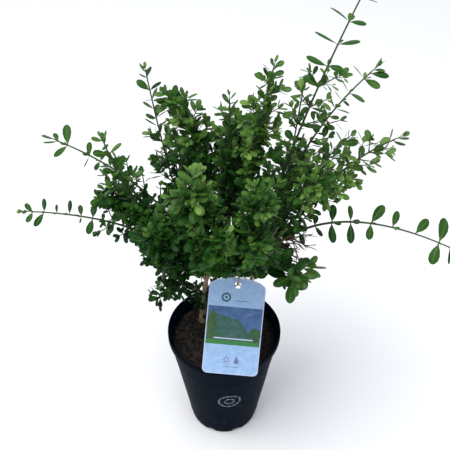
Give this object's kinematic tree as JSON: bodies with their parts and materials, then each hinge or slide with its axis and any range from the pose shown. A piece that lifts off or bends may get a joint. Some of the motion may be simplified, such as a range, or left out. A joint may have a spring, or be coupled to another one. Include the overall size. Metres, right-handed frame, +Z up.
{
  "type": "potted boxwood shrub",
  "caption": "Young unclipped evergreen shrub with upright stems and arching leafy shoots, in a round tapered nursery pot, with a plain plant label tied to a shoot.",
  "frame": {"origin": "centre of the flat underside of the pot", "axes": "+Z up; -Y is the front, where the label hangs; +X is to the right seen from the front"},
  "size_m": [0.4842, 0.2473, 0.6229],
  "materials": {
    "pot": "black thin-walled moulded polypropylene, satin",
    "soil": "dark moist bark and peat potting mix",
    "label": "printed white plastic card",
    "label_tie": "twisted natural twine",
    "stem_bark": "pale tan bark, finely ridged",
    "shoot_bark": "green to tan young bark",
    "foliage": "small leathery evergreen leaves, glossy above"
  },
  "bodies": {
    "root": {"pot": "pot", "soil": "soil", "label": "label", "label_tie": "label_tie", "stem_left": "stem_bark", "stem_middle": "stem_bark", "stem_right": "stem_bark", "stem_back": "stem_bark", "bough_left_low": "shoot_bark", "foliage_left_low": "foliage", "bough_left_high": "shoot_bark", "foliage_left_high": "foliage", "bough_left_mid": "shoot_bark", "foliage_left_mid": "foliage", "bough_left_side": "shoot_bark", "foliage_left_side": "foliage", "bough_left_foot": "shoot_bark", "foliage_left_foot": "foliage", "bough_front_left_low": "shoot_bark", "foliage_front_left_low": "foliage", "bough_front_left": "shoot_bark", "foliage_front_left": "foliage", "bough_front_centre": "shoot_bark", "foliage_front_centre": "foliage", "bough_front_right": "shoot_bark", "foliage_front_right": "foliage", "bough_front_right_high": "shoot_bark", "foliage_front_right_high": "foliage", "bough_centre": "shoot_bark", "foliage_centre": "foliage", "bough_right_crown": "shoot_bark", "foliage_right_crown": "foliage", "bough_right_foot": "shoot_bark", "foliage_right_foot": "foliage", "bough_tall": "shoot_bark", "foliage_tall": "foliage", "bough_right_column": "shoot_bark", "foliage_right_column": "foliage", "bough_right_high": "shoot_bark", "foliage_right_high": "foliage", "bough_right_upper": "shoot_bark", "foliage_right_upper": "foliage", "bough_right_long": "shoot_bark", "foliage_right_long": "foliage", "bough_right_fan": "shoot_bark", "foliage_right_fan": "foliage", "bough_right_low": "shoot_bark", "foliage_right_low": "foliage", "bough_left_back": "shoot_bark", "foliage_left_back": "foliage", "bough_left_crown": "shoot_bark", "foliage_left_crown": "foliage", "bough_back_left_low": "shoot_bark", "foliage_back_left_low": "foliage", "bough_back_crown": "shoot_bark", "foliage_back_crown": "foliage", "bough_back": "shoot_bark", "foliage_back": "foliage", "bough_back_right_low": "shoot_bark", "foliage_back_right_low": "foliage"}
  },
  "joints": []
}
